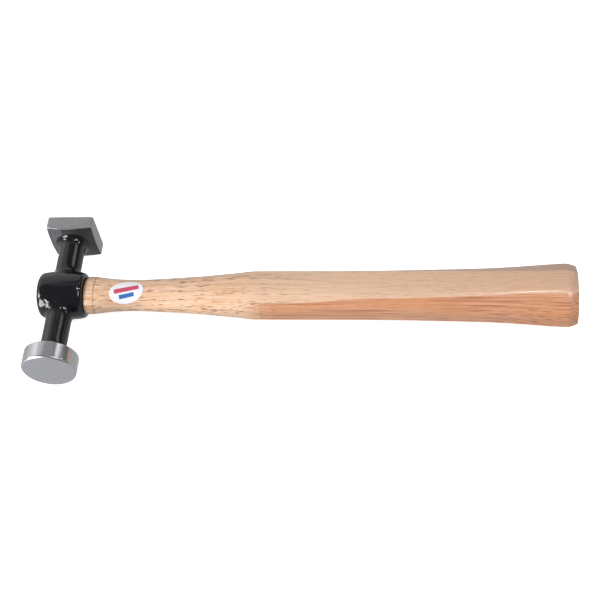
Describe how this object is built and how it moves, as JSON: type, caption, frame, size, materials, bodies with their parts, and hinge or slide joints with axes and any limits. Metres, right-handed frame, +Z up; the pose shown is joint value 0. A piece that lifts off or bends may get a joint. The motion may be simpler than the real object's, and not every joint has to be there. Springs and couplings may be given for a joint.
{
  "type": "dinging hammer",
  "caption": "Sheet metal dinging hammer: a round face and a square face on short shanks either side of the eye, with a swelled octagonal wooden handle.",
  "frame": {"origin": "bottom centre of the box that holds the hammer as it lies on its side on a bench", "axes": "+X along the handle from the head towards the butt, +Y along the head from the round face towards the square face, +Z up from the bench"},
  "size_m": [0.3374, 0.1072, 0.0341],
  "materials": {
    "black_paint": "gloss black paint over forged steel, with both faces and the square end's sides ground bare",
    "hickory": "straight-grained pale hickory under clear lacquer",
    "wedge_wood": "sawn end grain of a hardwood wedge",
    "wedge_steel": "plain sheared steel",
    "label": "white gloss paper with two plain colour bands"
  },
  "bodies": {
    "root": {"hammer_head": "black_paint", "handle": "hickory", "wood_wedge": "wedge_wood", "steel_wedge_1": "wedge_steel", "steel_wedge_2": "wedge_steel", "label": "label"}
  },
  "joints": []
}
